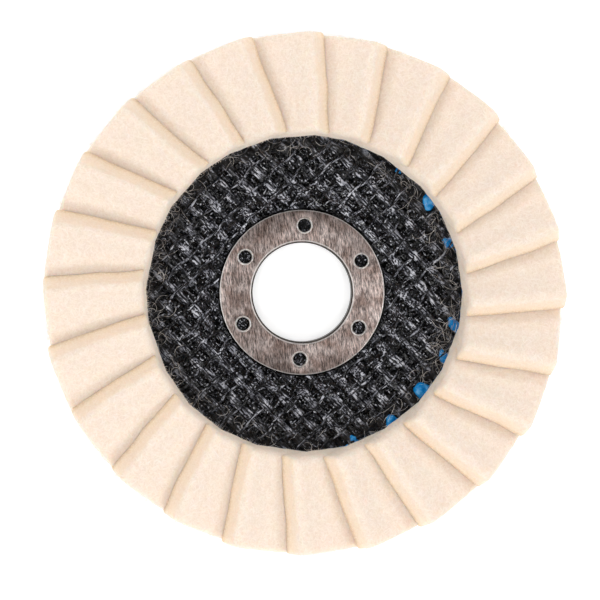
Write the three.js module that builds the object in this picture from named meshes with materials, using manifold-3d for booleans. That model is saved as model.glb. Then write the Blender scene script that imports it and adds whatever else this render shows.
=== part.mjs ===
// Felt flap disc for an angle grinder: felt flaps that overlap like roof slates, glued in a
// ring to a dished glass-fibre backing plate with a steel centre ring. Millimetres.
//
// +Z is the spin axis and points out of the working face. The rear face of the hub lies at
// z = 0 and the bore's centre is the origin. "Clockwise" means seen from the working face,
// looking along -Z, with +Y at the top.

import * as THREE from 'three';
import { mergeVertices } from 'three/addons/utils/BufferGeometryUtils.js';
import Module from 'manifold-3d';

// Whole wheel: the standard 115 x 22.23 mm size.
const WHEEL_DIAMETER = 115;
const BORE_DIAMETER = 22.23;

// Backing plate: two woven glass plies with a resin core between them, pressed into a dish.
const PLATE_RADIUS = 51;
const PLY_THICKNESS = 0.8;
const CORE_THICKNESS = 1.0;
const BOND_LINE = 0.05;
const HUB_DEPTH = 4;
const HUB_FLAT_RADIUS = 20.4;
const DISH_RUN = 5.2;
const DISH_STEPS = 5;
const DISH_OFFSET_PER_LEVEL = 0.4;

// Steel centre ring: a flat flange on the hub's front, with a collar that lines the bore.
const RING_RADIUS = 18.5;
const RING_THICKNESS = 0.8;
const COLLAR_WALL = 0.7;
const KEYING_HOLE_COUNT = 6;
const KEYING_HOLE_RADIUS = 1.55;
const KEYING_HOLE_CIRCLE_RADIUS = 15.05;
const RING_TURN = THREE.MathUtils.degToRad(2);

// Adhesive bed: a thin ring of glue that swells into a wedge under each flap.
const BED_INNER_RADIUS = 34.9;
const BED_OUTER_RADIUS = 50;
const BED_THICKNESS = 0.5;
const WEDGE_ROOT = 0.3;

// Felt flaps. Each one is a flat block of felt bent onto a screw surface, so that it climbs
// clockwise from its buried edge to its free crest and clears the next flap by FLAP_GAP.
const FLAP_COUNT = 24;
const FLAP_INNER_DISTANCE = 35;
const FLAP_BURIED_WIDTH = 8;
const FLAP_CREST_WIDTH = 8.1;
const FLAP_CLIMB_PER_RADIAN = 21.4;
const FLAP_GAP = 0.3;
const FIRST_FLAP_ANGLE = THREE.MathUtils.degToRad(-4.5);

// Facets.
const PLATE_FACETS = 48;
const RING_FACETS = 64;
const HOLE_FACETS = 20;
const FLAP_SEGMENTS = { along: 6, across: 4 };
const WEDGE_SEGMENTS = { along: 3, across: 3 };

// Worked out from the driving dimensions.
const BORE_RADIUS = BORE_DIAMETER / 2;
const COLLAR_OUTER_RADIUS = BORE_RADIUS + COLLAR_WALL;
const PLY_INNER_RADIUS = COLLAR_OUTER_RADIUS + BOND_LINE;
const CORE_LEVEL = PLY_THICKNESS + BOND_LINE;
const FRONT_PLY_LEVEL = CORE_LEVEL + CORE_THICKNESS + BOND_LINE;
const PLATE_THICKNESS = FRONT_PLY_LEVEL + PLY_THICKNESS;
const RING_LEVEL = PLATE_THICKNESS + BOND_LINE;
const BED_LEVEL = PLATE_THICKNESS + HUB_DEPTH + BOND_LINE;
const BED_TOP = BED_LEVEL + BED_THICKNESS;
const FLAP_PITCH = (2 * Math.PI) / FLAP_COUNT;
const FLAP_THICKNESS = FLAP_CLIMB_PER_RADIAN * FLAP_PITCH - FLAP_GAP;
const FLAP_OUTER_DISTANCE = Math.sqrt((WHEEL_DIAMETER / 2) ** 2 - FLAP_CREST_WIDTH ** 2);
const BURIED_CORNER_ANGLE = Math.atan2(FLAP_BURIED_WIDTH, FLAP_INNER_DISTANCE);
const FLAP_CENTRE_LEVEL = BED_TOP + FLAP_GAP + FLAP_CLIMB_PER_RADIAN * BURIED_CORNER_ANGLE;

const wasm = await Module();
wasm.setup();

const materials = {
  glassPly: new THREE.MeshStandardMaterial({ color: 0x2c2c2f, roughness: 0.35, metalness: 0 }),
  resinCore: new THREE.MeshStandardMaterial({ color: 0x1b1a1a, roughness: 0.6, metalness: 0 }),
  steel: new THREE.MeshStandardMaterial({ color: 0x9c918d, roughness: 0.4, metalness: 1 }),
  adhesive: new THREE.MeshStandardMaterial({ color: 0x1b6fb0, roughness: 0.3, metalness: 0 }),
  felt: new THREE.MeshStandardMaterial({ color: 0xf6e2cf, roughness: 0.95, metalness: 0 }),
};

// Keeps only the corner positions of a geometry, with shared corners merged.
function weld(geometry) {
  const bare = geometry.clone();
  bare.deleteAttribute('normal');
  bare.deleteAttribute('uv');
  return mergeVertices(bare);
}

function toSolid(geometry) {
  const welded = weld(geometry);
  return new wasm.Manifold(new wasm.Mesh({
    numProp: 3,
    vertProperties: new Float32Array(welded.attributes.position.array),
    triVerts: new Uint32Array(welded.index.array),
  }));
}

function toGeometry(solid) {
  const mesh = solid.getMesh();
  const geometry = new THREE.BufferGeometry();
  geometry.setAttribute('position', new THREE.BufferAttribute(mesh.vertProperties, 3));
  geometry.setIndex(new THREE.BufferAttribute(mesh.triVerts, 1));
  geometry.computeVertexNormals();
  return geometry;
}

// Turns a closed outline of [radius, z] corners, listed anticlockwise, about the Z axis.
function turned(outline, facets) {
  const corners = [...outline, outline[0]].map(([radius, z]) => new THREE.Vector2(radius, z));
  return new THREE.LatheGeometry(corners, facets).rotateX(Math.PI / 2);
}

// Makes a box whose corners and facet points are moved to place(along, across, up), where
// each of the three runs from 0 to 1.
function mappedBox(segments, place) {
  const geometry = new THREE.BoxGeometry(1, 1, 1, segments.along, segments.across, 1);
  const points = geometry.attributes.position;
  for (let i = 0; i < points.count; i += 1) {
    const [x, y, z] = place(points.getX(i) + 0.5, points.getY(i) + 0.5, points.getZ(i) + 0.5);
    points.setXYZ(i, x, y, z);
  }
  geometry.computeVertexNormals();
  return geometry;
}

// Height of the plate at a radius: flat over the hub, then a smooth rise to the flat rim.
// level is the distance of the surface above the plate's rear face.
function plateHeight(radius, level) {
  const start = HUB_FLAT_RADIUS - DISH_OFFSET_PER_LEVEL * level;
  return level + HUB_DEPTH * THREE.MathUtils.smoothstep(radius, start, start + DISH_RUN);
}

// One surface of the plate from the bore out to the rim, as [radius, z] corners.
function plateSurface(level) {
  const start = HUB_FLAT_RADIUS - DISH_OFFSET_PER_LEVEL * level;
  const radii = [PLY_INNER_RADIUS];
  for (let step = 0; step <= DISH_STEPS; step += 1) {
    radii.push(start + (DISH_RUN * step) / DISH_STEPS);
  }
  radii.push(PLATE_RADIUS);
  return radii.map((radius) => [radius, plateHeight(radius, level)]);
}

function plateLayer(level, thickness) {
  const outline = [...plateSurface(level), ...plateSurface(level + thickness).reverse()];
  return turned(outline, PLATE_FACETS);
}

function centreRing() {
  const front = RING_LEVEL + RING_THICKNESS;
  let ring = toSolid(turned([
    [BORE_RADIUS, 0],
    [COLLAR_OUTER_RADIUS, 0],
    [COLLAR_OUTER_RADIUS, RING_LEVEL],
    [RING_RADIUS, RING_LEVEL],
    [RING_RADIUS, front],
    [BORE_RADIUS, front],
  ], RING_FACETS));
  for (let hole = 0; hole < KEYING_HOLE_COUNT; hole += 1) {
    const clockwise = RING_TURN + (hole * 2 * Math.PI) / KEYING_HOLE_COUNT;
    const drill = new THREE.CylinderGeometry(
      KEYING_HOLE_RADIUS, KEYING_HOLE_RADIUS, 3 * RING_THICKNESS, HOLE_FACETS);
    drill.rotateX(Math.PI / 2);
    drill.translate(
      KEYING_HOLE_CIRCLE_RADIUS * Math.sin(clockwise),
      KEYING_HOLE_CIRCLE_RADIUS * Math.cos(clockwise),
      front);
    ring = ring.subtract(toSolid(drill));
  }
  return toGeometry(ring);
}

// Height of the screw surface under a flap, in the flap's own frame: +X runs outward along
// the flap's centre line and -Y is clockwise.
function flapUnderside(x, y) {
  return FLAP_CENTRE_LEVEL + FLAP_CLIMB_PER_RADIAN * Math.atan2(-y, x);
}

// How far the flap's upper face is shifted anticlockwise by its square-cut edges.
function squareCutShift(x, y) {
  const radius = Math.hypot(x, y);
  const climb = FLAP_CLIMB_PER_RADIAN;
  return (FLAP_THICKNESS * climb * radius) / (radius ** 2 + climb ** 2);
}

function flap() {
  return mappedBox(FLAP_SEGMENTS, (along, across, up) => {
    const x = THREE.MathUtils.lerp(FLAP_INNER_DISTANCE, FLAP_OUTER_DISTANCE, along);
    const y = THREE.MathUtils.lerp(-FLAP_CREST_WIDTH, FLAP_BURIED_WIDTH, across);
    const shifted = y + up * squareCutShift(x, y);
    return [x, shifted, flapUnderside(x, shifted) + up * FLAP_THICKNESS];
  });
}

function flapTurn(index) {
  return Math.PI / 2 - FIRST_FLAP_ANGLE - index * FLAP_PITCH;
}

// The glue between one flap's underside, the plate and the next flap's buried edge.
function adhesiveWedge() {
  const root = new THREE.Vector3();
  const edge = new THREE.Vector3();
  const axis = new THREE.Vector3(0, 0, 1);
  return mappedBox(WEDGE_SEGMENTS, (along, across, up) => {
    const x = THREE.MathUtils.lerp(BED_INNER_RADIUS + WEDGE_ROOT, BED_OUTER_RADIUS - 1.5, along);
    root.set(x, FLAP_BURIED_WIDTH - FLAP_GAP, 0);
    edge.set(x, FLAP_BURIED_WIDTH + squareCutShift(x, FLAP_BURIED_WIDTH) + 2 * FLAP_GAP, 0);
    edge.applyAxisAngle(axis, -FLAP_PITCH);
    root.lerpVectors(edge, root, across);
    const floor = BED_TOP - BED_THICKNESS / 2;
    const roof = Math.max(flapUnderside(root.x, root.y) - FLAP_GAP, BED_TOP - BED_THICKNESS / 4);
    return [root.x, root.y, up < 0.5 ? floor : roof];
  });
}

function adhesiveBed() {
  let bed = toSolid(turned([
    [BED_INNER_RADIUS, BED_LEVEL],
    [BED_OUTER_RADIUS, BED_LEVEL],
    [BED_OUTER_RADIUS, BED_TOP],
    [BED_INNER_RADIUS, BED_TOP],
  ], PLATE_FACETS));
  for (let index = 0; index < FLAP_COUNT; index += 1) {
    bed = bed.add(toSolid(adhesiveWedge().rotateZ(flapTurn(index))));
  }
  return toGeometry(bed);
}

const group = new THREE.Group();

function addPiece(name, geometry, material) {
  const mesh = new THREE.Mesh(geometry, material);
  mesh.name = name;
  group.add(mesh);
  return mesh;
}

addPiece('rear_mesh_ply', plateLayer(0, PLY_THICKNESS), materials.glassPly);
addPiece('resin_core', plateLayer(CORE_LEVEL, CORE_THICKNESS), materials.resinCore);
addPiece('front_mesh_ply', plateLayer(FRONT_PLY_LEVEL, PLY_THICKNESS), materials.glassPly);
addPiece('centre_ring', centreRing(), materials.steel);
addPiece('adhesive_bed', adhesiveBed(), materials.adhesive);
for (let index = 0; index < FLAP_COUNT; index += 1) {
  const name = `flap_${String(index + 1).padStart(2, '0')}`;
  addPiece(name, flap(), materials.felt).rotation.z = flapTurn(index);
}

export default group;
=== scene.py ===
"""Felt flap disc: the looks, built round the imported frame.

Lengths are in millimetres until a mesh is made. An angle called clockwise is measured from +Y,
as seen from the working face.
"""
import math

import bpy
import numpy as np
from mathutils import Matrix, Vector


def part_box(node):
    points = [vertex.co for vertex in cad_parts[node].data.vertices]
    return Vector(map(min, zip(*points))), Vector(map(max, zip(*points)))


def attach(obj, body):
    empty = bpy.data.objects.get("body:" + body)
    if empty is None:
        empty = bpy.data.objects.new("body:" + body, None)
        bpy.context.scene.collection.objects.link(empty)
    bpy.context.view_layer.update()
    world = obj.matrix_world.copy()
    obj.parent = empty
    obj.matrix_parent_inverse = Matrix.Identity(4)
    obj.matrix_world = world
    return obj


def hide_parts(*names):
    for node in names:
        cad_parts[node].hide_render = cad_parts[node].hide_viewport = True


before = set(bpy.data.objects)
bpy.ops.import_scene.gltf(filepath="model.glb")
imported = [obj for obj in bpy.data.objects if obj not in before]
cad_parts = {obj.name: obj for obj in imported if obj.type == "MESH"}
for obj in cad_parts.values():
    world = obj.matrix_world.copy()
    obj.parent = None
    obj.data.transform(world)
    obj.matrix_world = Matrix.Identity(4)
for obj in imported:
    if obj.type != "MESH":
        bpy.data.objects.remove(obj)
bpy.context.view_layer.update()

MM = 0.001
SEED = 7

# Felt flaps, as in the CAD part, but a little longer outward because their ends are rounded.
FLAP_COUNT = 24
FLAP_PITCH = 2 * math.pi / FLAP_COUNT
FLAP_INNER_DISTANCE = 35.0
FLAP_MIDDLE = 46.0
FLAP_OUTER_DISTANCE = 57.05
FLAP_HALF_LENGTH = 11.0
FLAP_BURIED_WIDTH = 8.0
FLAP_CREST_WIDTH = 8.1
FLAP_CLIMB_PER_RADIAN = 21.4
FLAP_GAP = 0.3
FIRST_FLAP_CLOCKWISE = math.radians(-4.5)

# Backing plate, as in the CAD part.
PLY_THICKNESS = 0.8
CORE_THICKNESS = 1.0
BOND_LINE = 0.05
HUB_FLAT_RADIUS = 20.4
DISH_RUN = 5.2
DISH_OFFSET_PER_LEVEL = 0.4

# Centre ring, as in the CAD part.
RING_THICKNESS = 0.8
COLLAR_WALL = 0.7
BORE_RADIUS = 11.115
KEYING_HOLES = 6
KEYING_HOLE_RADIUS = 1.55
KEYING_HOLE_CIRCLE_RADIUS = 15.05
RING_TURN = math.radians(2)
SCRATCH_LEAN = math.radians(-7)

# Woven glass: flat wefts one way and leno pairs of thin warps the other way.
WEAVE_ANGLE = math.radians(45)
ROVING_PITCH = 3.96
WEFT_WIDTH = 2.2
WARP_WIDTH = 0.6
VISIBLE_WEAVE_RADIUS = 36.6
RELIEF = 0.11
REAR_RESIN_LEVEL = 0.22

# Glue: a thin ring, and a wedge under each flap.
BED_INNER_RADIUS = 35.3
BED_OUTER_RADIUS = 50.0
BED_THICKNESS = 0.5
WEDGE_INNER_DISTANCE = 36.0
WEDGE_OUTER_DISTANCE = 48.6

# Tones of a chip or splinter, from black resin to pale; the pale ones are painted glints.
CHIP_TONES = [0.0, 0.6, 1.0, 1.6]

# Camera: how far from the ring, its lean as a share of that, and the point it looks at.
CAMERA_DISTANCE = 640
CAMERA_LEAN = (-0.060, 0.030)
CAMERA_TARGET = (-0.49, -1.71)
LENS_PER_DISTANCE = 0.268


def millimetres(corner):
    """A corner of a box in metres, in millimetres."""
    return [value / MM for value in corner]


RING_RADIUS, _, RING_FRONT = millimetres(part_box("centre_ring")[1])
PLATE_RADIUS, _, RIM_HEIGHT = millimetres(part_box("front_mesh_ply")[1])
PLY_INNER_RADIUS = BORE_RADIUS + COLLAR_WALL + BOND_LINE
HUB_DEPTH = millimetres(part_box("rear_mesh_ply")[1])[2] - PLY_THICKNESS
CORE_LEVEL = millimetres(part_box("resin_core")[0])[2]
FRONT_LEVEL = RIM_HEIGHT - HUB_DEPTH
BED_LEVEL = millimetres(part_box("adhesive_bed")[0])[2]
BED_TOP = BED_LEVEL + BED_THICKNESS
BURIED_ANGLE = math.atan2(FLAP_BURIED_WIDTH, FLAP_INNER_DISTANCE)
FLAP_CENTRE_LEVEL = BED_TOP + FLAP_GAP + FLAP_CLIMB_PER_RADIAN * BURIED_ANGLE
FLAP_THICKNESS = FLAP_CLIMB_PER_RADIAN * FLAP_PITCH - 0.08


# ------ numbers and meshes

def random_source(name):
    """A repeatable random source for one piece."""
    return np.random.default_rng([SEED, *name.encode()])


def lattice_random(cells, seed):
    """A repeatable number from -1 to 1 for each row of three whole numbers, hashed."""
    mixed = cells[..., 0] * 73856093 ^ cells[..., 1] * 19349663 ^ cells[..., 2] * 83492791
    mixed = (mixed ^ (seed * 2654435761)) & 0x7FFFFFFF
    mixed = ((mixed ^ (mixed >> 13)) * 1274126177) & 0x7FFFFFFF
    mixed = ((mixed ^ (mixed >> 11)) * 1540483477) & 0x7FFFFFFF
    return ((mixed ^ (mixed >> 15)) % 65536) / 32767.5 - 1


def smooth_noise(points, size, seed):
    """Smooth noise from -1 to 1 at each point, with lumps of about that size."""
    scaled = np.asarray(points, float) / size
    cell = np.floor(scaled).astype(np.int64)
    share = scaled - cell
    share = share * share * (3 - 2 * share)
    total = np.zeros(len(scaled))
    for corner in np.ndindex(2, 2, 2):
        weight = np.prod(np.where(corner, share, 1 - share), axis=1)
        total += weight * lattice_random(cell + np.array(corner), seed)
    return total


def smoothstep(value, low, high):
    """0 below low, 1 above high and a smooth rise between."""
    share = np.clip((value - low) / (high - low), 0, 1)
    return share * share * (3 - 2 * share)


def make_piece(name, points, faces, material, slot, replaced=(), attributes=None):
    """A smooth-shaded mesh from points in millimetres and faces of equal corner count."""
    mesh = bpy.data.meshes.new(name)
    points = np.asarray(points, np.float32) * MM
    faces = np.asarray(faces, np.int32)
    mesh.vertices.add(len(points))
    mesh.vertices.foreach_set("co", points.ravel())
    mesh.loops.add(faces.size)
    mesh.loops.foreach_set("vertex_index", faces.ravel())
    mesh.polygons.add(len(faces))
    mesh.polygons.foreach_set("loop_start", np.arange(len(faces), dtype=np.int32) * faces.shape[1])
    mesh.polygons.foreach_set("use_smooth", np.ones(len(faces), bool))
    for key, values in (attributes or {}).items():
        layer = mesh.attributes.new(key, "FLOAT", "POINT")
        layer.data.foreach_set("value", np.asarray(values, np.float32))
    mesh.update(calc_edges=True)
    mesh.validate()
    return add_piece(name, mesh, material, replaced)


def add_piece(name, mesh, material, replaced=()):
    """An object that rides on the wheel and the CAD nodes it stands for."""
    piece = bpy.data.objects.new(name, mesh)
    bpy.context.scene.collection.objects.link(piece)
    mesh.materials.clear()
    mesh.materials.append(material)
    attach(piece, "root")
    if replaced:
        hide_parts(*replaced)
    return piece


def grid_faces(rows, columns, close_rows=False, close_columns=False):
    """Quads over a grid of points numbered row by row, optionally closed on itself."""
    row = np.arange(rows if close_rows else rows - 1)[:, None]
    column = np.arange(columns if close_columns else columns - 1)[None, :]
    next_row, next_column = (row + 1) % rows, (column + 1) % columns
    corners = [row * columns + column, next_row * columns + column,
               next_row * columns + next_column, row * columns + next_column]
    corners = np.broadcast_arrays(*corners)
    return np.stack(corners, axis=-1).reshape(-1, 4)


def joined(parts):
    """Joins pairs of points and faces of equal corner count into one pair."""
    starts = np.cumsum([0] + [len(points) for points, _ in parts])
    return (np.concatenate([points for points, _ in parts]),
            np.concatenate([faces + start for (_, faces), start in zip(parts, starts)]))


def turned_points(outline, turns):
    """The points of an outline of (radius, z) turned about the Z axis, turn by turn."""
    outline = np.asarray(outline, float)
    angle = np.arange(turns) * 2 * math.pi / turns
    x = np.cos(angle)[:, None] * outline[:, 0]
    y = np.sin(angle)[:, None] * outline[:, 0]
    z = np.broadcast_to(outline[:, 1], x.shape)
    return np.stack([x, y, z], axis=-1).reshape(-1, 3)


def turned_left(angle):
    """Turns rows of points anticlockwise about the Z axis, as points @ this."""
    cos, sin = math.cos(angle), math.sin(angle)
    return np.array([[cos, sin, 0], [-sin, cos, 0], [0, 0, 1]])


def flap_angle(index):
    """The direction of a flap's middle, anticlockwise from +X."""
    return math.pi / 2 - FIRST_FLAP_CLOCKWISE - index * FLAP_PITCH


def keying_hole_centre(hole):
    """The centre of one of the ring's small holes, at z = 0."""
    clockwise = RING_TURN + hole * 2 * math.pi / KEYING_HOLES
    return np.array([math.sin(clockwise), math.cos(clockwise), 0]) * KEYING_HOLE_CIRCLE_RADIUS


def plate_height(radius, level):
    """Height of a surface of the dished plate, level above its rear face."""
    start = HUB_FLAT_RADIUS - DISH_OFFSET_PER_LEVEL * level
    return level + HUB_DEPTH * smoothstep(radius, start, start + DISH_RUN)


def tubes(paths, radius, sides):
    """Thin tubes along paths of equal point count: returns points and faces.

    radius is one number, or one for each path.
    """
    paths = np.asarray(paths, float)
    count, steps, _ = paths.shape
    along = np.gradient(paths, axis=1)
    along /= np.linalg.norm(along, axis=2, keepdims=True) + 1e-9
    side = np.cross(along, [0.31, 0.17, 0.93])
    side /= np.linalg.norm(side, axis=2, keepdims=True) + 1e-9
    other = np.cross(along, side)
    taper = np.sin(np.linspace(0.03, math.pi - 0.03, steps)) ** 0.4
    taper = taper * np.broadcast_to(radius, count)[:, None]
    turn = np.arange(sides) * 2 * math.pi / sides
    ring = side[:, :, None] * np.cos(turn)[:, None] + other[:, :, None] * np.sin(turn)[:, None]
    points = paths[:, :, None] + ring * taper[:, :, None, None]
    one = grid_faces(steps, sides, close_columns=True)
    faces = (one + (np.arange(count) * steps * sides)[:, None, None]).reshape(-1, 4)
    return points.reshape(-1, 3), faces


def capped_body(outline, turns):
    """A turned body whose first and last rings are closed by flat caps."""
    columns = len(outline)
    faces = [list(face) for face in grid_faces(turns, columns, close_rows=True)]
    faces.append([turn * columns for turn in range(turns)][::-1])
    faces.append([turn * columns + columns - 1 for turn in range(turns)])
    return turned_points(outline, turns), faces


# ------ materials

class Nodes:
    """A short way to write a material's nodes."""

    def __init__(self, name):
        self.material = bpy.data.materials.new(name)
        self.material.use_nodes = True
        self.tree = self.material.node_tree
        self.shader = self.tree.nodes["Principled BSDF"]
        self.place = self.add("ShaderNodeTexCoord").outputs["Object"]

    def add(self, kind, **settings):
        node = self.tree.nodes.new(kind)
        for key, value in settings.items():
            setattr(node, key, value)
        return node

    def link(self, source, target):
        self.tree.links.new(source, target)

    def set(self, **values):
        """Gives sockets of the shader their values; a name has _ for each space."""
        for key, value in values.items():
            self.shader.inputs[key.replace("_", " ")].default_value = value

    def feed(self, source, socket):
        """Links an output to a socket of the shader."""
        self.link(source, self.shader.inputs[socket])

    def noise(self, size, detail=2.0, vector=None, roughness=0.5):
        """Noise with lumps of about that many millimetres."""
        node = self.add("ShaderNodeTexNoise")
        node.inputs["Scale"].default_value = 1 / (size * MM)
        node.inputs["Detail"].default_value = detail
        node.inputs["Roughness"].default_value = roughness
        self.link(vector or self.place, node.inputs["Vector"])
        return node.outputs["Fac"]

    def stretched(self, scale, turn=0.0):
        """Object coordinates turned about Z and then scaled, so that noise runs in streaks."""
        turned = self.add("ShaderNodeMapping")
        turned.inputs["Rotation"].default_value[2] = turn
        self.link(self.place, turned.inputs["Vector"])
        scaled = self.add("ShaderNodeMapping")
        scaled.inputs["Scale"].default_value = scale
        self.link(turned.outputs[0], scaled.inputs["Vector"])
        return scaled.outputs[0]

    def ramp(self, source, *stops):
        """Colours at places from 0 to 1 along the source."""
        node = self.add("ShaderNodeValToRGB")
        elements = node.color_ramp.elements
        while len(elements) < len(stops):
            elements.new(0.5)
        for element, (position, colour) in zip(elements, stops):
            element.position = position
            element.color = (*colour, 1)
        self.link(source, node.inputs["Fac"])
        return node.outputs["Color"]

    def levels(self, source, low, high, to_low, to_high):
        """The source's range low to high, clamped and moved to another range."""
        node = self.add("ShaderNodeMapRange")
        for key, value in zip(("From Min", "From Max", "To Min", "To Max"),
                              (low, high, to_low, to_high)):
            node.inputs[key].default_value = value
        self.link(source, node.inputs["Value"])
        return node.outputs["Result"]

    def math(self, operation, first, second):
        node = self.add("ShaderNodeMath", operation=operation)
        for socket, value in zip(node.inputs, (first, second)):
            if isinstance(value, (int, float)):
                socket.default_value = value
            else:
                self.link(value, socket)
        return node.outputs[0]

    def attribute(self, name):
        return self.add("ShaderNodeAttribute", attribute_name=name).outputs["Fac"]

    def radius(self):
        """Distance from the spin axis, in metres."""
        flat = self.add("ShaderNodeVectorMath", operation="MULTIPLY")
        flat.inputs[1].default_value = (1, 1, 0)
        self.link(self.place, flat.inputs[0])
        length = self.add("ShaderNodeVectorMath", operation="LENGTH")
        self.link(flat.outputs["Vector"], length.inputs[0])
        return length.outputs["Value"]

    def bump(self, height, distance, strength=1.0):
        node = self.add("ShaderNodeBump")
        node.inputs["Distance"].default_value = distance * MM
        node.inputs["Strength"].default_value = strength
        self.link(height, node.inputs["Height"])
        self.feed(node.outputs["Normal"], "Normal")


def mix_colour(nodes, share, first, second, blend="MIX"):
    """Mixes two colours; each is a tuple or an output."""
    node = nodes.add("ShaderNodeMix", data_type="RGBA", blend_type=blend)
    sockets = [s for s in node.inputs if s.type == "RGBA"]
    for socket, value in zip((node.inputs[0], *sockets), (share, first, second)):
        if isinstance(value, (int, float)):
            socket.default_value = value
        elif isinstance(value, tuple):
            socket.default_value = (*value, 1)
        else:
            nodes.link(value, socket)
    return next(s for s in node.outputs if s.type == "RGBA")


def felt_fibres(nodes):
    """Fine fibres laid in four directions, each a stretched noise: the highest one shows."""
    height = None
    for degrees in (12, 57, 101, 148):
        along = nodes.stretched((0.22, 1, 0.5), math.radians(degrees))
        layer = nodes.noise(0.34, detail=3, vector=along, roughness=0.7)
        height = nodes.math("MAXIMUM", height, layer) if height else layer
    return height


def felt_material():
    """Cream pressed wool: faint mottling, tan fibrous cut sides, painted shade beside each valley
    and along the foot of each crest, and a nap that scatters light.
    """
    nodes = Nodes("felt")
    nodes.set(Roughness=0.95, Specular_IOR_Level=0.12, Sheen_Weight=0.2, Sheen_Roughness=0.6,
              Subsurface_Weight=0.6, Subsurface_Radius=(1.0, 0.7, 0.45),
              Subsurface_Scale=2.5 * MM)
    fibres = felt_fibres(nodes)
    face = nodes.ramp(fibres, (0.48, (0.815, 0.68, 0.565)), (0.59, (0.88, 0.76, 0.655)),
                      (0.72, (0.93, 0.835, 0.75)))
    # Painted shade: the top goes darker and warmer beside the next flap's valley line.
    shade = mix_colour(nodes, nodes.attribute("painted_valley_shade"), face, (0.86, 0.655, 0.48))
    streaks = nodes.noise(0.5, detail=3, roughness=0.65)
    side = nodes.ramp(streaks, (0.3, (0.84, 0.625, 0.42)), (0.55, (0.90, 0.70, 0.52)),
                      (0.75, (0.94, 0.775, 0.61)))
    # Painted shade: a dark brown line along the foot of each crest, where it meets the next flap.
    painted_crease_shade = nodes.ramp(streaks, (0.35, (0.60, 0.36, 0.19)), (0.7, (0.84, 0.60, 0.40)))
    colour = mix_colour(nodes, nodes.attribute("cut"), shade, side)
    colour = mix_colour(nodes, nodes.attribute("painted_crease_shade"), colour, painted_crease_shade)
    nodes.feed(colour, "Base Color")
    nodes.bump(fibres, 0.2, 0.8)
    return nodes.material


def glass_material(name, lay):
    """Glass yarn under black resin, with streaks along lay: painted sheen makes the tops pale and
    painted shade makes the pits black.

    The mesh says how pale each point is painted, as sheen on yarn tops and as glints on chips.
    """
    nodes = Nodes(name)
    nodes.set(Specular_IOR_Level=0.36)
    streaks = nodes.noise(0.36, 1, nodes.stretched((0.12, 1, 1), -lay))
    grit = nodes.noise(0.5, detail=1)
    patches = nodes.noise(2.0, detail=2)
    share = nodes.math("MULTIPLY", nodes.levels(streaks, 0.44, 0.56, 0.1, 1.0),
                       nodes.levels(patches, 0.35, 0.60, 0.5, 1.0))
    share = nodes.math("MULTIPLY", share, nodes.levels(grit, 0.38, 0.47, 0.1, 1.1))
    share = nodes.math("MULTIPLY", share, nodes.attribute("glint_tone"))
    colour = nodes.ramp(share, (0.0, (0.0008, 0.0008, 0.001)), (0.3, (0.042, 0.043, 0.051)),
                        (0.65, (0.25, 0.255, 0.295)), (1.0, (0.60, 0.61, 0.66)))
    # Darker and browner towards the felt, in patches.
    near_felt = nodes.levels(nodes.radius(), 30.2 * MM, 33.6 * MM, 0, 0.7)
    browner_near_felt = nodes.math("MULTIPLY", near_felt, nodes.levels(nodes.noise(1.4, 3), 0.30, 0.52, 0, 1))
    colour = mix_colour(nodes, browner_near_felt, colour, (0.008, 0.0055, 0.0035))
    nodes.feed(colour, "Base Color")
    wet = nodes.levels(nodes.noise(1.2, 2), 0.35, 0.65, 0.05, 0.22)
    dull = nodes.math("MULTIPLY", near_felt, 0.3)
    nodes.feed(nodes.math("ADD", wet, dull), "Roughness")
    nodes.bump(nodes.noise(0.8, detail=1), 0.25, 0.6)
    return nodes.material


def resin_material():
    """Black phenolic resin, glossy where it pooled and dull where it didn't."""
    nodes = Nodes("black_resin")
    nodes.set(Specular_IOR_Level=0.35)
    grains = nodes.noise(0.9, detail=2)
    colour = nodes.ramp(grains, (0.35, (0.001, 0.001, 0.0012)), (0.7, (0.006, 0.0055, 0.0055)))
    nodes.feed(colour, "Base Color")
    nodes.feed(nodes.levels(grains, 0.3, 0.7, 0.3, 0.1), "Roughness")
    nodes.bump(nodes.noise(0.7, detail=2), 0.3, 0.9)
    return nodes.material


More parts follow.
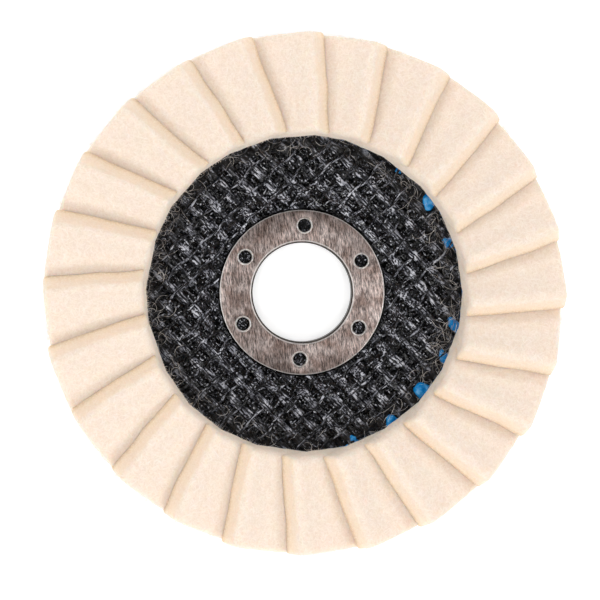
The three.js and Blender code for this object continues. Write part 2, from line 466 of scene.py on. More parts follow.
def steel_material():
    """Stamped steel: fine near-vertical scratches, a warm brown tint that is part tarnish and part
    painted reflection, painted highlights on the bore's lip and outer edge, and painted shade on
    the bore wall.
    """
    nodes = Nodes("scratched_steel")
    nodes.set(Metallic=1.0)
    lines = nodes.noise(0.18, 4, nodes.stretched((1, 0.09, 1), SCRATCH_LEAN), 0.65)
    streaks = nodes.noise(0.23, 3, nodes.stretched((1, 0.16, 1), SCRATCH_LEAN), 0.7)
    tarnish = nodes.noise(3.5, detail=4, roughness=0.6)
    # The warm brown is partly a painted reflection of the cream felt; its blotches are tarnish.
    warm = nodes.ramp(tarnish, (0.38, (0.225, 0.163, 0.142)), (0.62, (0.42, 0.352, 0.33)))
    cloud = nodes.levels(nodes.noise(9, detail=1), 0.38, 0.62, 0.85, 1.25)
    warm = mix_colour(nodes, 1.0, warm, cloud, "MULTIPLY")
    worn = nodes.levels(streaks, 0.36, 0.64, 0.28, 2.15)
    colour = mix_colour(nodes, 1.0, warm, worn, "MULTIPLY")
    radius = nodes.radius()
    # Painted highlights: bright bands on the bore's rolled lip and round the outer edge.
    lip = nodes.ramp(nodes.levels(radius, BORE_RADIUS * MM, (BORE_RADIUS + 0.8) * MM, 0, 1),
                     (0.42, (0, 0, 0)), (0.52, (1, 1, 1)), (0.70, (1, 1, 1)), (0.84, (0, 0, 0)))
    rim = nodes.levels(radius, (RING_RADIUS - 0.28) * MM, (RING_RADIUS - 0.1) * MM, 0, 1)
    colour = mix_colour(nodes, nodes.math("MAXIMUM", lip, rim), colour, (0.88, 0.83, 0.80))
    # Painted shade: the bore wall and the inner part of its lip go near black.
    wall = nodes.levels(radius, (BORE_RADIUS + 0.27) * MM, (BORE_RADIUS + 0.38) * MM, 1, 0)
    colour = mix_colour(nodes, wall, colour, (0.05, 0.044, 0.04))
    nodes.feed(colour, "Base Color")
    nodes.feed(nodes.levels(lines, 0.3, 0.7, 0.24, 0.5), "Roughness")
    nodes.bump(lines, 0.05, 0.7)
    return nodes.material


def bright_steel_material():
    """The rolled-over lip of a punched hole, in very pale metal that paints its highlight."""
    nodes = Nodes("punched_lip")
    nodes.set(Metallic=1.0, Roughness=0.4)
    worn = nodes.noise(0.6, detail=3)
    colour = nodes.ramp(worn, (0.35, (0.66, 0.60, 0.57)), (0.6, (0.95, 0.93, 0.91)))
    nodes.feed(colour, "Base Color")
    nodes.bump(worn, 0.05, 0.4)
    return nodes.material


def adhesive_material():
    """Blue glue, set hard and glossy."""
    nodes = Nodes("blue_adhesive")
    nodes.set(Roughness=0.16)
    depth = nodes.noise(1.2, detail=3)
    colour = nodes.ramp(depth, (0.3, (0.001, 0.16, 0.48)), (0.52, (0.003, 0.25, 0.62)),
                        (0.72, (0.14, 0.46, 0.80)))
    nodes.feed(colour, "Base Color")
    nodes.bump(nodes.noise(0.5, detail=3), 0.15, 0.6)
    return nodes.material


def mottled_material(name, roughness, size, *stops):
    """A plain rough material whose colour changes over about size millimetres."""
    nodes = Nodes(name)
    nodes.set(Roughness=roughness)
    nodes.feed(nodes.ramp(nodes.noise(size, 2), *stops), "Base Color")
    return nodes.material


def hair_material():
    """Loose hairs, dusty in places."""
    return mottled_material("loose_felt_hair", 0.6, 1.6, (0.38, (0.25, 0.215, 0.19)),
                            (0.60, (0.85, 0.79, 0.73)))


def fuzz_material():
    """The felt's own hairs, as pale as its faces."""
    return mottled_material("felt_fuzz", 0.9, 1.0, (0.3, (0.90, 0.77, 0.64)),
                            (0.7, (0.96, 0.86, 0.76)))


# ------ felt flaps

def spaced_cuts(low, high, edge, step):
    """Cuts from low to high: close together within edge of both ends, and step apart between."""
    near = edge * (1 - np.cos(np.linspace(0, math.pi / 2, 5)))
    inner = np.linspace(low + edge, high - edge, max(2, round((high - low - 2 * edge) / step)) + 1)
    return np.unique(np.round(np.concatenate([low + near, inner, high - near]), 6))


def box_skin(cuts_x, cuts_y, cuts_z):
    """The skin of a box cut along three lists: its points and quads, edges shared."""
    sizes = [len(cuts_x), len(cuts_y), len(cuts_z)]
    number = -np.ones(sizes, int)
    x, y, z = np.meshgrid(*[np.arange(n) for n in sizes], indexing="ij")
    on_skin = ((x == 0) | (x == sizes[0] - 1) | (y == 0) | (y == sizes[1] - 1)
               | (z == 0) | (z == sizes[2] - 1))
    number[on_skin] = np.arange(on_skin.sum())
    points = np.stack([cuts_x[x[on_skin]], cuts_y[y[on_skin]], cuts_z[z[on_skin]]], axis=1)
    faces = []
    for axis in range(3):
        for end in (0, sizes[axis] - 1):
            sheet = np.take(number, end, axis=axis)
            quads = np.stack([sheet[:-1, :-1], sheet[1:, :-1], sheet[1:, 1:], sheet[:-1, 1:]],
                             axis=-1).reshape(-1, 4)
            flip = (end == 0) != (axis == 1)
            faces.append(quads[:, ::-1] if flip else quads)
    return points, np.concatenate(faces)


def rounded(points, low, high, radius, axes):
    """Rounds a box skin's edges as seen in the plane of two axes, with a radius for each point."""
    flat, radius = points[:, axes], radius[:, None]
    core = np.clip(flat, low[axes] + radius, high[axes] - radius)
    offset = flat - core
    length = np.linalg.norm(offset, axis=1, keepdims=True)
    result = points.copy()
    pulled = core + offset * radius / np.maximum(length, 1e-9)
    result[:, axes] = np.where(length > radius, pulled, flat)
    return result


def flap_template():
    """One flap as a flat block: x outward, y anticlockwise, z through the felt."""
    low = np.array([FLAP_INNER_DISTANCE, -FLAP_CREST_WIDTH, 0.0])
    high = np.array([FLAP_OUTER_DISTANCE, FLAP_BURIED_WIDTH, FLAP_THICKNESS])
    cuts = [spaced_cuts(a, b, 1.5, step) for a, b, step in zip(low, high, (0.36, 0.36, 0.4))]
    points, faces = box_skin(*cuts)
    height = points[:, 2]
    top = smoothstep(height, 0.25 * FLAP_THICKNESS, 0.8 * FLAP_THICKNESS)
    crest = points[:, 1] < 0
    corner = np.where(points[:, 0] < FLAP_MIDDLE, 0.8 + 0.5 * top * crest, 0.8 + 0.6 * crest)
    points = rounded(points, low, high, corner, [0, 1])
    points = rounded(points, low, high, 0.3 + 0.9 * top, [1, 2])
    end_radius = np.where(points[:, 0] < FLAP_MIDDLE, 1.5, 0.9)
    return rounded(points, low, high, 0.3 + (end_radius - 0.3) * top, [0, 2]), faces


def bend_onto_screw(points, twist, lift):
    """Bends flat blocks onto the climbing screw surface, square-cut edges kept square."""
    x, y, z = points.T
    radius = np.hypot(x, y)
    climb = FLAP_CLIMB_PER_RADIAN
    shift = z * climb * radius / (radius ** 2 + climb ** 2)
    y = y + shift
    crest = np.clip(-y / FLAP_CREST_WIDTH, 0, 1) ** 2
    height = FLAP_CENTRE_LEVEL + climb * np.arctan2(-y, x) + z
    height += crest * (lift + twist * (x - FLAP_MIDDLE) / FLAP_HALF_LENGTH)
    return np.stack([x, y, height], axis=1)


def cut_sides(template):
    """How near each point of a flap is to its cut crest side, and to any cut side."""
    x, y, _ = template.T
    from_end = np.minimum(x - FLAP_INNER_DISTANCE, FLAP_OUTER_DISTANCE - x)
    crest_side = 1 - smoothstep(y + FLAP_CREST_WIDTH, 0.0, 0.75)
    return crest_side, np.maximum(crest_side, 0.4 * (1 - smoothstep(from_end, 0.0, 0.75)))


def lean_flap(points, template, index):
    """Bends a flap's ends and crest to the outline that all the flaps share."""
    x, y, z = template.T
    up = z / FLAP_THICKNESS
    from_crest = y + FLAP_CREST_WIDTH
    outward = (x - FLAP_MIDDLE) / FLAP_HALF_LENGTH
    inner = np.clip(-outward, 0, 1)
    outer = np.clip(outward, 0, 1)
    # The inner end partly follows the circle that it lies on, and leans back at the top.
    circle = FLAP_INNER_DISTANCE - np.sqrt(FLAP_INNER_DISTANCE ** 2 - y ** 2)
    points[:, 0] -= 0.25 * inner * circle
    points[:, 0] += inner ** 2 * (0.8 * up ** 1.3 - 0.1)
    # The outer end is cut askew.
    points[:, 0] -= outer * 0.056 * y
    # The crest is worn down, and leans more on the wheel's left, as seen in the photo's view.
    points[:, 2] -= 0.45 * np.exp(-(from_crest / 1.3) ** 2) * up
    more_on_the_left = 1 - 0.4 * math.cos(flap_angle(index))
    points[:, 1] += np.clip(1 - from_crest / 4, 0, 1) * up * (0.45 + 0.5 * outer) * more_on_the_left


def roughen_flap(points, template, index, random):
    """Gives a flap its own lumps, ragged cuts, fuzz and small turn."""
    x, y, z = template.T
    across = (y + FLAP_CREST_WIDTH) / (FLAP_CREST_WIDTH + FLAP_BURIED_WIDTH)
    outward = (x - FLAP_MIDDLE) / FLAP_HALF_LENGTH
    on_top = z > FLAP_THICKNESS / 2
    cell = template + np.array([index * 40.0, 0, 0])
    points[:, 2] += 0.10 * smooth_noise(cell, 5.5, 11) * on_top
    points[:, 1] += (1 - across) * (0.22 * smooth_noise(cell * [1, 0, 0.3], 5.0, 12)
                                    + random.uniform(-0.3, 0.3))
    points[:, 0] += outward * (
        0.16 * smooth_noise(cell * [0, 1, 0.4], 3.5, 13) + random.uniform(-0.28, 0.28)
        + 0.09 * smooth_noise(cell * [0, 1, 1], 1.3, 17))
    fuzz = 0.035 * smooth_noise(cell, 0.5, 14) + 0.03 * smooth_noise(cell, 1.3, 15)
    points[:, 2] += fuzz * np.where(on_top, 1, -1)
    layers = 0.07 * cut_sides(template)[1] * smooth_noise(cell * [0.25, 0.25, 2.2], 0.8, 16)
    points[:, 1] -= layers * (y < 0)
    points[:, 0] += layers * np.sign(outward)
    pivot = np.array([FLAP_MIDDLE, 0, 0])
    yaw = math.radians(random.uniform(-0.9, 0.9))
    return (points - pivot) @ turned_left(yaw) + pivot


def felt_shades(template):
    """Where a flap shows its tan cut sides, its painted shade along the foot of its crest, and the
    warmer painted shade beside the next flap's valley.
    """
    x, y, z = template.T
    crest_side, side = cut_sides(template)
    depth = FLAP_THICKNESS - z
    cut = 0.45 * smoothstep(depth, 0.1, 1.0) + 0.45 * smoothstep(depth, 1.0, 5.0)
    from_valley = math.tan(FLAP_PITCH) * x - FLAP_CREST_WIDTH / math.cos(FLAP_PITCH) - y
    return {"cut": np.clip(side * 1.15, 0, 1) * cut,
            "painted_crease_shade": 0.85 * crest_side * np.exp(-z ** 2),
            "painted_valley_shade": 0.75 * np.exp(-np.abs(from_valley) / 1.1) * smoothstep(z, 3.5, 4.8)}


def make_flap(index, template, faces, material):
    """One felt flap, a little different from the others in place, lean and outline."""
    name = f"felt_flap_{index + 1:02d}"
    random = random_source(name)
    points = template.copy()
    lean_flap(points, template, index)
    points = roughen_flap(points, template, index, random)
    points = bend_onto_screw(points, random.uniform(-0.18, 0.18), random.uniform(-0.30, 0.12))
    make_piece(name, points @ turned_left(flap_angle(index)), faces, material, "felt",
               [f"flap_{index + 1:02d}"], felt_shades(template))


def make_flaps(material):
    """All the flaps, bent one by one from the same flat block."""
    template, faces = flap_template()
    for index in range(FLAP_COUNT):
        make_flap(index, template, faces, material)


# ------ backing plate

def plate_skin(name, low_level, high_level, grain, turns, material, slot, replaced, top):
    """One layer of the plate as a closed turned body with a grainy face."""
    fine = np.linspace(PLY_INNER_RADIUS, PLATE_RADIUS, 150 if grain else 60)
    lower = [(r, plate_height(r, low_level)) for r in fine]
    upper = [(r, plate_height(r, high_level)) for r in fine[::-1]]
    points = turned_points(lower + upper, turns)
    faces = grid_faces(turns, len(lower) + len(upper), close_rows=True, close_columns=True)
    seen = np.tile(np.r_[np.full(len(lower), not top), np.full(len(upper), top)], turns)
    lumps = 0.5 * smooth_noise(points, 0.55, 21) + 0.35 * smooth_noise(points, 1.3, 22)
    points[:, 2] += seen * grain * (lumps - 0.6) * (1 if top else -1)
    edge = np.hypot(points[:, 0], points[:, 1]) > PLATE_RADIUS - 0.4
    points[:, :2] *= 1 + (edge * 0.004 * smooth_noise(points, 0.9, 23))[:, None]
    make_piece(name, points, faces, material, slot, replaced)


def strand_section(ridges, thickness, ridge_height):
    """A flat yarn's section: a ridged lens on top and a plain underside."""
    w = np.linspace(-1, 1, ridges * 2 + 1)
    dome = np.sqrt(1 - (0.96 * w) ** 2) * thickness
    dome[1::2] += ridge_height
    under = np.array([0.6, -0.6])
    return np.concatenate([np.stack([w, dome], axis=1),
                           np.stack([under, [-0.15, -0.15]], axis=1)])


def spans(centre, inner, outer):
    """The stretches of a straight strand, centre from the middle, that lie in the ring."""
    reach = math.sqrt(max(0.0, outer ** 2 - centre ** 2))
    if reach < 1.5:
        return []
    if abs(centre) >= inner:
        return [(-reach, reach)]
    gap = math.sqrt(inner ** 2 - centre ** 2)
    return [(-reach, -gap), (gap, reach)]


def noise_on(s, w, size, seed):
    """Smooth noise over a strand, s along and w across."""
    s, w = np.broadcast_arrays(s, w)
    places = np.stack([s, w, 0 * s], axis=-1)
    return smooth_noise(places.reshape(-1, 3), size, seed).reshape(s.shape)


def lay_strand(start, end, centre, shape, row, seed, step):
    """One strand: for each point of each section, how far along, sideways and up it lies.

    shape is a row of weave's strands, and seed gives the strand its own drift and roughness.
    """
    half, section, rise, wander = shape
    s = np.linspace(start, end, max(4, int((end - start) / step)))[:, None]
    w = section[None, :, 0]
    drift = noise_on(s, 7.7 * seed, 3.1, seed)
    roll = noise_on(s, 0, 2.4, seed + 1)
    rough = noise_on(0.4 * s, w * half * 2.2, 0.9, seed + 2)
    dive = noise_on(s, 0, 3.4, seed + 3)
    sideways = centre + (wander(s, row) + 0.16 * drift) + half * w
    height = (rise(s, row) + 0.16 * roll * w + RELIEF * rough + 0.09 / half * dive
              + section[None, :, 1])
    points = np.stack(np.broadcast_arrays(s, sideways, height), axis=-1)
    return points.reshape(-1, 3), grid_faces(*height.shape, close_columns=True)


def weave(name, level, face, inner, outer, angle, strands, step, material, tones, phase=0):
    """A family of parallel strands on the plate.

    strands lists the sideways place of each strand of one pitch and its shape: half width,
    section, rise and wander. face is 1 on the plate's front and -1 on its back. tones are the
    two heights over the plate between which the yarn goes from black painted shade to pale painted
    sheen.
    """
    random = random_source(name)
    parts = []
    last = int(outer / ROVING_PITCH) + 2
    for row in range(-last, last + 1):
        for place, *shape in strands:
            centre = row * ROVING_PITCH + phase + place
            seed = int(random.integers(1, 10000))
            parts += [lay_strand(start, end, centre, shape, row, seed, step)
                      for start, end in spans(centre, inner, outer)]
    points, faces = joined(parts)
    along, sideways, height = points.T
    x = along * math.cos(angle) - sideways * math.sin(angle)
    y = along * math.sin(angle) + sideways * math.cos(angle)
    radius = np.hypot(x, y)
    base = plate_height(radius, level)
    if face > 0:
        free = smoothstep(radius, RING_RADIUS - 0.2, RING_RADIUS + 0.5)
        height = height * free - 0.35 * (1 - free)
    placed = np.stack([x, y, base + face * height], axis=1)
    # Painted sheen and shade: the yarn is paler the higher it stands, and black low down.
    glint_tone = smoothstep(height, *tones)
    make_piece(name, placed, faces if face > 0 else faces[:, ::-1], material, "glass_ply",
               attributes={"glint_tone": glint_tone})


def weft_rise(amount, base):
    """Height of a strand that waves over and under the crossing ones."""
    def rise(s, row):
        return base + amount * np.cos(2 * math.pi * s / ROVING_PITCH + math.pi * row)
    return rise


def straight(s, row):
    """The sideways path of a strand that doesn't wander."""
    return 0 * s


def leno_wander(sign, reach):
    """Sideways path of one yarn of a leno pair, which changes sides at every weft."""
    def wander(s, row):
        return sign * reach * np.cos(math.pi * s / ROVING_PITCH + math.pi * row)
    return wander


def make_weaves(falling, rising):
    """falling and rising are the glass whose filaments run down and up to the right."""
    weft = strand_section(8, 0.24, 0.07)
    warp = strand_section(3, 0.26, 0.07)
    front = [FRONT_LEVEL, 1, RING_RADIUS - 0.5, VISIBLE_WEAVE_RADIUS]
    wefts = [(0, WEFT_WIDTH / 2, weft, weft_rise(0.10, 0.30), straight)]
    warps = [(0, WARP_WIDTH / 2, warp, weft_rise(0.10, 0.56), leno_wander(1, 0.36)),
             (0, WARP_WIDTH / 2, warp, weft_rise(0.08, 0.12), leno_wander(-1, 0.5))]
    weave("front_wefts", *front, -WEAVE_ANGLE, wefts, 0.22, falling, (0.30, 0.68))
    weave("front_warps", *front, WEAVE_ANGLE, warps, 0.22, rising, (0.40, 1.1))
    low = [(0, 0.8, strand_section(5, 0.2, 0.07), weft_rise(0.06, -0.2), straight)]
    half_pitch = ROVING_PITCH / 2
    deep = (-0.1, 0.8)
    weave("front_under_wefts", *front, -WEAVE_ANGLE, low, 0.4, falling, deep, half_pitch)
    weave("front_under_warps", *front, WEAVE_ANGLE, low, 0.4, rising, deep, half_pitch)
    back = [(0, WEFT_WIDTH / 2, strand_section(5, 0.14, 0.04), weft_rise(0.09, -0.06), straight)]
    rear = [REAR_RESIN_LEVEL, -1, PLY_INNER_RADIUS + 1.2, PLATE_RADIUS - 1.5]
    weave("rear_wefts", *rear, -WEAVE_ANGLE, back, 0.5, falling, (-0.02, 0.3))
    weave("rear_warps", *rear, WEAVE_ANGLE, back, 0.5, rising, (-0.02, 0.3))


def scattered_places(random, count, inner, outer):
    """Places spread evenly over a ring: x and y."""
    radius = np.sqrt(random.uniform(inner ** 2, outer ** 2, count))
    angle = random.uniform(0, 2 * math.pi, count)
    return radius * np.cos(angle), radius * np.sin(angle)


def hole_places(random, each):
    """Places on the plate under the ring's keying holes: x and y."""
    x, y = scattered_places(random, KEYING_HOLES * each, 0, KEYING_HOLE_RADIUS - 0.3)
    centres = np.array([keying_hole_centre(hole) for hole in range(KEYING_HOLES)])
    return x + np.repeat(centres[:, 0], each), y + np.repeat(centres[:, 1], each)


def make_chips(name, points, faces, glass, glint_tone):
    """Flat-faced chips; the last argument is how pale each point is, and the pale ones are painted
    glints.
    """
    chips = make_piece(name, points, faces, glass, "glass_ply", attributes={"glint_tone": glint_tone})
    chips.data.shade_flat()


def make_crumbs(glass):
    """Chips of resin and broken glass scattered over the weave and under the keying holes."""
    random = random_source("resin_crumbs")
    on_weave = scattered_places(random, 8500, RING_RADIUS + 0.4, VISIBLE_WEAVE_RADIUS)
    in_holes = hole_places(random, 34)
    place_x, place_y = [np.concatenate(pair) for pair in zip(on_weave, in_holes)]
    radius = np.hypot(place_x, place_y)
    count = len(radius)
    corners = np.array([[1, 0, 0], [0, 1, 0], [-1, 0, 0], [0, -1, 0], [0, 0, 1], [0, 0, -1]], float)
    triangles = np.array([[0, 1, 4], [1, 2, 4], [2, 3, 4], [3, 0, 4],
                          [1, 0, 5], [2, 1, 5], [3, 2, 5], [0, 3, 5]])
    lean = WEAVE_ANGLE * random.choice([-1, 1], count) + random.normal(0, 0.25, count)
    size = np.stack([random.uniform(0.2, 0.5, count), random.uniform(0.14, 0.28, count),
                     random.uniform(0.08, 0.2, count)], axis=1)
    local = corners * size[:, None] + random.normal(0, 0.03, (count, 6, 3))
    tilt = random.normal(0, 0.4, (2, count, 1))
    local[:, :, 2] += tilt[0] * local[:, :, 0] + tilt[1] * local[:, :, 1]
    cos, sin = np.cos(lean)[:, None], np.sin(lean)[:, None]
    x = local[:, :, 0] * cos - local[:, :, 1] * sin + place_x[:, None]
    y = local[:, :, 0] * sin + local[:, :, 1] * cos + place_y[:, None]
    lift = np.where(radius < RING_RADIUS, 0.1, random.uniform(0.0, 0.45, count))
    z = local[:, :, 2] + (plate_height(radius, FRONT_LEVEL) + lift)[:, None]
    points = np.stack([x, y, z], axis=-1).reshape(-1, 3)
    faces = (triangles + (np.arange(count) * 6)[:, None, None]).reshape(-1, 3)
    # A few chips get pale tones as painted glints.
    glint_tone = np.repeat(random.choice(CHIP_TONES, count, p=[0.46, 0.26, 0.17, 0.11]), 6)
    make_chips("resin_crumbs", points, faces, glass, glint_tone)


def make_splinters(glass):
    """Broken filaments and needles of resin that lie along both yarn directions."""
    random = random_source("glass_splinters")
    count, steps = 2200, 4
    x, y = scattered_places(random, count, RING_RADIUS + 1.2, VISIBLE_WEAVE_RADIUS)
    lean = WEAVE_ANGLE * random.choice([-1, 1], count) + random.normal(0, 0.14, count)
    along = np.linspace(-0.5, 0.5, steps) * random.uniform(0.7, 2.2, count)[:, None]
    x = x[:, None] + along * np.cos(lean)[:, None]
    y = y[:, None] + along * np.sin(lean)[:, None]
    base = random.uniform(0.15, 0.62, count)[:, None] + random.normal(0, 0.12, (count, 1)) * along
    z = plate_height(np.hypot(x, y), FRONT_LEVEL) + base
    points, faces = tubes(np.stack([x, y, z], axis=-1), random.uniform(0.10, 0.2, count), 4)
    # A few splinters get pale tones as painted glints.
    glint_tone = random.choice(CHIP_TONES, count, p=[0.45, 0.25, 0.18, 0.12])
    make_chips("glass_splinters", points, faces, glass, np.repeat(glint_tone, steps * 4))


def make_plate(resin):
    """The plate's three layers, then the yarns, chips and splinters on them."""
    plate_skin("rear_ply", REAR_RESIN_LEVEL, PLY_THICKNESS, 0.08, 300, resin, "glass_ply",
               ["rear_mesh_ply"], False)
    plate_skin("core_layer", CORE_LEVEL, CORE_LEVEL + CORE_THICKNESS, 0, 300, resin, "resin_core",
               ["resin_core"], True)
    plate_skin("front_ply", FRONT_LEVEL - PLY_THICKNESS, FRONT_LEVEL, 0.3, 330, resin, "glass_ply",
               ["front_mesh_ply"], True)
    falling = glass_material("glass_falling", -WEAVE_ANGLE)
    rising = glass_material("glass_rising", WEAVE_ANGLE)
    make_weaves(falling, rising)
    make_crumbs(falling)
    make_splinters(rising)


# ------ centre ring

def apply_modifiers(piece):
    """Turns a piece's modifiers into its mesh."""
    graph = bpy.context.evaluated_depsgraph_get()
    mesh = bpy.data.meshes.new_from_object(piece.evaluated_get(graph))
    piece.modifiers.clear()
    piece.data = mesh


def plain_object(name, parts):
    """An object with no material or ride, to be cut or melted, from pairs of points and faces."""
    vertices, polygons = [], []
    for points, faces in parts:
        polygons += [[int(corner) + len(vertices) for corner in face] for face in faces]
        vertices += [tuple(point * MM) for point in points]
    mesh = bpy.data.meshes.new(name)
    mesh.from_pydata(vertices, [], polygons)
    mesh.update()
    tool = bpy.data.objects.new(name, mesh)
    bpy.context.scene.collection.objects.link(tool)
    return tool


def make_ring(steel):
    """The flange and the collar in one turned body, with its holes drilled and edges rolled."""
    level = RING_FRONT - RING_THICKNESS
    wall = BORE_RADIUS + COLLAR_WALL
    roll_radius = 0.55
    roll = np.linspace(0, math.pi / 2, 7)
    outline = [(BORE_RADIUS, 0.0), (wall, 0.0), (wall, level), (RING_RADIUS, level),
               (RING_RADIUS, RING_FRONT)]
    outline += [(BORE_RADIUS + roll_radius * (1 - math.sin(a)),
                 RING_FRONT - roll_radius * (1 - math.cos(a))) for a in roll]
    turns = 192
    faces = grid_faces(turns, len(outline), close_rows=True, close_columns=True)
    body = plain_object("ring_body", [(turned_points(outline, turns), faces)])
    drill = [(KEYING_HOLE_RADIUS, level - 0.5), (KEYING_HOLE_RADIUS, RING_FRONT + 0.5)]
    points, faces = capped_body(drill, 48)
    cutters = [plain_object(f"drill_{hole}", [(points + keying_hole_centre(hole), faces)])
               for hole in range(KEYING_HOLES)]
    for cutter in cutters:
        cut = body.modifiers.new("hole", "BOOLEAN")
        cut.operation = "DIFFERENCE"
        cut.solver = "EXACT"
        cut.object = cutter
    bevel = body.modifiers.new("edges", "BEVEL")
    bevel.width = 0.2 * MM
    bevel.segments = 3
    bevel.limit_method = "ANGLE"
    bevel.angle_limit = math.radians(40)
    apply_modifiers(body)
    for cutter in cutters:
        bpy.data.objects.remove(cutter)
    mesh = body.data
    bpy.data.objects.remove(body)
    mesh.shade_smooth()
    mesh.set_sharp_from_angle(angle=math.radians(35))
    add_piece("steel_centre_ring", mesh, steel, ["centre_ring"])


def make_burrs(steel):
    """The raised, rounded lip that the punch leaves round each keying hole."""
    lip = [(1.44, -0.5), (1.46, -0.05), (1.52, 0.09), (1.62, 0.16), (1.73, 0.15), (1.83, 0.08),
           (1.90, -0.06), (1.70, -0.3)]
    faces = grid_faces(64, len(lip), close_rows=True, close_columns=True)[:, ::-1]
    centres = [keying_hole_centre(hole) + np.array([0, 0, RING_FRONT])
               for hole in range(KEYING_HOLES)]
    parts = [(turned_points(lip, 64) + centre, faces) for centre in centres]
    make_piece("hole_burrs", *joined(parts), steel, "steel_ring")


# ------ adhesive

# Beads of glue that squeezed out at the flaps' inner ends: degrees clockwise, radius in mm.
GLUE_BEADS = [(14, 0.5), (38.5, 0.9), (54.5, 1.75), (71, 1.25), (102, 1.6), (114, 1.35),
              (129.5, 1.8), (145.5, 1.6), (161.5, 1.3), (350, 0.5)]


def wedge_block(index):
    """The glue under one flap, between the plate and the next flap's buried edge."""
    cuts = [np.linspace(0, 1, 12), np.linspace(0, 1, 8), np.linspace(0, 1, 2)]
    points, faces = box_skin(*cuts)
    along, across, up = points.T
    x = WEDGE_INNER_DISTANCE + along * (WEDGE_OUTER_DISTANCE - WEDGE_INNER_DISTANCE)
    overhang = FLAP_THICKNESS * FLAP_CLIMB_PER_RADIAN * x / (x ** 2 + FLAP_CLIMB_PER_RADIAN ** 2)
    edge_y = FLAP_BURIED_WIDTH - 0.6 + up * overhang
    cos, sin = math.cos(FLAP_PITCH), math.sin(FLAP_PITCH)
    edge = np.stack([x * cos + edge_y * sin, -x * sin + edge_y * cos], axis=1)
    root = np.stack([x, np.full_like(x, FLAP_BURIED_WIDTH - 0.3)], axis=1)
    plan = edge * (1 - across)[:, None] + root * across[:, None]
    roof = FLAP_CENTRE_LEVEL + FLAP_CLIMB_PER_RADIAN * np.arctan2(-plan[:, 1], plan[:, 0]) + 0.4
    z = np.where(up < 0.5, BED_LEVEL, np.maximum(roof, BED_LEVEL + 0.4))
    return np.column_stack([plan, z]) @ turned_left(flap_angle(index)), faces


def squashed_ball(clockwise, out, height, size):
    """A ball of glue on the bed, a little lower than it is wide."""
    tilt = np.linspace(0.02, math.pi - 0.02, 12)
    points, faces = capped_body(np.column_stack([np.sin(tilt), -np.cos(tilt)]), 20)
    centre = [out * math.sin(clockwise), out * math.cos(clockwise), BED_LEVEL + height]
    return points * [size, size, size * 0.8] + centre, faces


def glue_blocks():
    """The ring of glue, its wedges, the beads that squeezed out and the lumps near the rim."""
    ring = [(BED_INNER_RADIUS, BED_LEVEL), (BED_OUTER_RADIUS, BED_LEVEL),
            (BED_OUTER_RADIUS, BED_TOP), (BED_INNER_RADIUS, BED_TOP)]
    parts = [(turned_points(ring, 240), grid_faces(240, 4, close_rows=True, close_columns=True))]
    parts += [wedge_block(index) for index in range(FLAP_COUNT)]
    random = random_source("blue_adhesive")
    for degrees, size in GLUE_BEADS:
        for _ in range(6):
            aside = random.uniform(-0.65, 0.65) * size / FLAP_INNER_DISTANCE
            out = FLAP_INNER_DISTANCE + 0.5 - random.uniform(0.1, 1.25) * size
            share = size * random.uniform(0.4, 0.75)
            parts.append(squashed_ball(math.radians(degrees) + aside, out, 0.35 * share, share))
    for _ in range(46):
        clockwise = random.uniform(0, 2 * math.pi)
        out = random.uniform(BED_OUTER_RADIUS - 0.8, BED_OUTER_RADIUS + 0.3)
        parts.append(squashed_ball(clockwise, out, 0.3, random.uniform(0.5, 1.3)))
    return parts


def make_adhesive(material):
    """The blocks of glue melted into one lump with an uneven skin."""
    lump = plain_object("lump", glue_blocks())
    remesh = lump.modifiers.new("skin", "REMESH")
    remesh.mode = "VOXEL"
    remesh.voxel_size = 0.42 * MM
    smooth = lump.modifiers.new("soften", "SMOOTH")
    smooth.factor = 0.6
    smooth.iterations = 4
    apply_modifiers(lump)
    mesh = lump.data
    bpy.data.objects.remove(lump)
    points = np.zeros(len(mesh.vertices) * 3, np.float32)
    mesh.vertices.foreach_get("co", points)
    points = points.reshape(-1, 3) / MM
    points += 0.07 * np.stack([smooth_noise(points, 1.4, 31 + k) for k in range(3)], axis=1)
    mesh.vertices.foreach_set("co", (points * MM).ravel())
    mesh.shade_smooth()
    mesh.update()
    add_piece("blue_adhesive_bed", mesh, material, ["adhesive_bed"])


# ------ hairs

def curly_paths(random, starts, headings, lengths, steps, curl, lift):
    """Random curls: each path turns smoothly as it goes."""
    count = len(starts)
    bend = random.normal(0, curl, (count, 1)) + random.normal(0, curl * 0.5, (count, steps))
    heading = headings[:, None] + np.cumsum(bend, axis=1)
    pace = (lengths / steps)[:, None]
    x = starts[:, 0, None] + np.cumsum(np.cos(heading) * pace, axis=1)
    y = starts[:, 1, None] + np.cumsum(np.sin(heading) * pace, axis=1)
    hump = np.sin(np.linspace(0, math.pi, steps)) * random.uniform(0.1, 1, (count, 1)) * lift
    return x, y, starts[:, 2, None] + hump


def make_loose_hairs(material):
    """Brown and pale hairs shed by the felt onto the rim of the visible plate."""
    random = random_source("loose_hairs")
    count, steps = 340, 22
    where = np.concatenate([random.normal(92, 28, 130), random.normal(282, 28, 100),
                            random.uniform(0, 360, 110)])
    angle = np.radians(where)
    out = FLAP_INNER_DISTANCE - 0.1 - np.abs(random.normal(0, 1.5, count))
    starts = np.stack([out * np.sin(angle), out * np.cos(angle),
                       plate_height(out, FRONT_LEVEL) + random.uniform(0.55, 0.9, count)], axis=1)
    headings = random.uniform(0, 2 * math.pi, count)
    x, y, z = curly_paths(random, starts, headings, random.uniform(1.5, 5.0, count), steps, 0.13,
                          0.7)
    keep = np.minimum(1, (FLAP_INNER_DISTANCE + 0.1) / np.hypot(x, y))
    paths = np.stack([x * keep, y * keep, z], axis=-1)
    points, faces = tubes(paths, random.uniform(0.024, 0.045, count), 4)
    make_piece("loose_felt_hairs", points, faces, material, "felt")


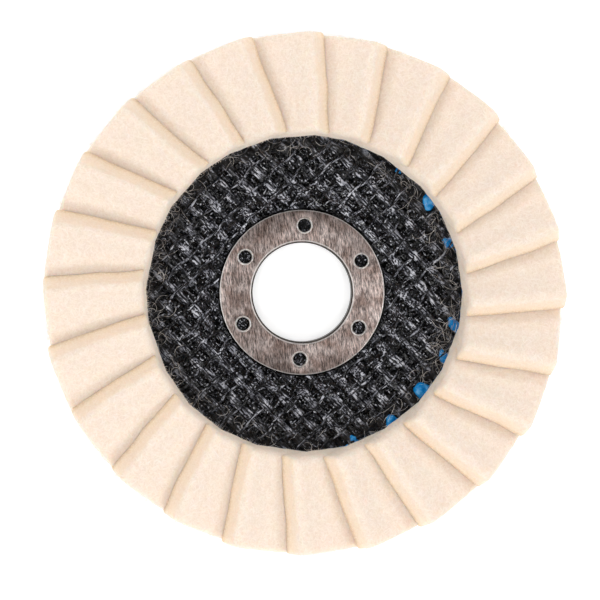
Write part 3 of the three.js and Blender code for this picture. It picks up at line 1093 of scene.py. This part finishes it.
def make_fuzz(material):
    """Short hairs that stand off the flaps' cut edges."""
    random = random_source("edge_fuzz")
    per_flap, steps = 460, 4
    blocks = []
    for index in range(FLAP_COUNT):
        kind = random.integers(0, 3, per_flap)
        along = random.uniform(FLAP_INNER_DISTANCE + 0.3, FLAP_OUTER_DISTANCE - 0.3, per_flap)
        sideways = random.uniform(-FLAP_CREST_WIDTH + 0.4, 5, per_flap)
        x = np.choose(kind, [FLAP_INNER_DISTANCE + 0.25, FLAP_OUTER_DISTANCE - 0.1, along])
        y = np.choose(kind, [sideways, sideways, -FLAP_CREST_WIDTH + 0.25])
        depth = random.uniform(0.2, 1.0, per_flap) * FLAP_THICKNESS * 0.92
        root = bend_onto_screw(np.stack([x, y, depth], axis=1), 0, 0)
        push = np.stack([np.choose(kind, [-1, 1, 0]) + random.normal(0, 0.35, per_flap),
                         np.choose(kind, [0, 0, -1]) + random.normal(0, 0.35, per_flap),
                         random.normal(0.15, 0.35, per_flap)], axis=1)
        push /= np.linalg.norm(push, axis=1, keepdims=True)
        reach = 0.2 + 0.9 * random.uniform(0, 1, per_flap)[:, None] ** 2
        sway = random.normal(0, 0.12, (per_flap, 3))
        t = np.linspace(0, 1, steps)[:, None]
        path = root[:, None] + (push * reach)[:, None] * t + sway[:, None] * t ** 2
        blocks.append(path @ turned_left(flap_angle(index)))
    points, faces = tubes(np.concatenate(blocks), 0.024, 3)
    make_piece("felt_edge_fuzz", points, faces, material, "felt")


# ------ studio

def make_floor():
    """A plain white floor that glows a little, so that it stays white in the wheel's shade."""
    nodes = Nodes("pale_floor")
    nodes.set(Roughness=0.9, Specular_IOR_Level=0.1, Base_Color=(0.9, 0.9, 0.9, 1),
              Emission_Color=(1, 1, 1, 1), Emission_Strength=0.38)
    bpy.ops.mesh.primitive_plane_add(size=6, location=(0, 0, -0.0002))
    floor = bpy.context.object
    floor.name = "floor"
    floor.data.materials.append(nodes.material)


def make_world():
    """Even light that fills the shade, but isn't mirrored in the resin."""
    world = bpy.data.worlds.new("studio")
    bpy.context.scene.world = world
    world.use_nodes = True
    background = world.node_tree.nodes["Background"]
    background.inputs["Color"].default_value = (1, 1, 1, 1)
    background.inputs["Strength"].default_value = 0.33
    world.cycles_visibility.glossy = False


def softbox(name, place, size, power):
    """A square soft light that faces the wheel."""
    light = bpy.data.lights.new(name, "AREA")
    light.shape = "SQUARE"
    light.size = size
    light.energy = power
    lamp = bpy.data.objects.new(name, light)
    lamp.location = place
    lamp.rotation_euler = (-Vector(place)).to_track_quat("-Z", "Y").to_euler()
    lamp.visible_camera = False
    bpy.context.scene.collection.objects.link(lamp)


def make_lights():
    """Two overhead panels, and a ring of small lamps that glint in the resin."""
    for side in (-1, 1):
        softbox(f"panel_{side}", (0.36 * side, -0.06, 1.0), 0.35, 1.12)
    for number in range(8):
        turn = math.radians(22.5 + 45 * number)
        power = 1.2 - 0.2 * math.cos(2 * turn) - 0.25 * math.sin(turn)
        place = (0.76 * math.cos(turn), 0.76 * math.sin(turn), 0.48)
        softbox(f"lamp_{number}", place, 0.18, power)


def make_camera():
    """Over the working face, a few degrees off the axis."""
    data = bpy.data.cameras.new("camera")
    data.sensor_width = 36
    data.lens = LENS_PER_DISTANCE * CAMERA_DISTANCE
    data.clip_start = 0.01
    camera = bpy.data.objects.new("camera", data)
    ring = Vector((0, 0, RING_FRONT)) * MM
    camera.location = ring + Vector((*CAMERA_LEAN, 1)) * CAMERA_DISTANCE * MM
    target = ring + Vector((*CAMERA_TARGET, 0)) * MM
    back = (camera.location - target).normalized()
    right = Vector((0, 1, 0)).cross(back).normalized()
    turn = Matrix((right, back.cross(right), back)).transposed()
    camera.rotation_euler = turn.to_euler()
    bpy.context.scene.collection.objects.link(camera)
    bpy.context.scene.camera = camera


make_flaps(felt_material())
make_plate(resin_material())
make_ring(steel_material())
make_burrs(bright_steel_material())
make_adhesive(adhesive_material())
make_loose_hairs(hair_material())
make_fuzz(fuzz_material())

make_floor()
make_world()
make_lights()
make_camera()
bpy.context.scene.view_settings.view_transform = "Standard"
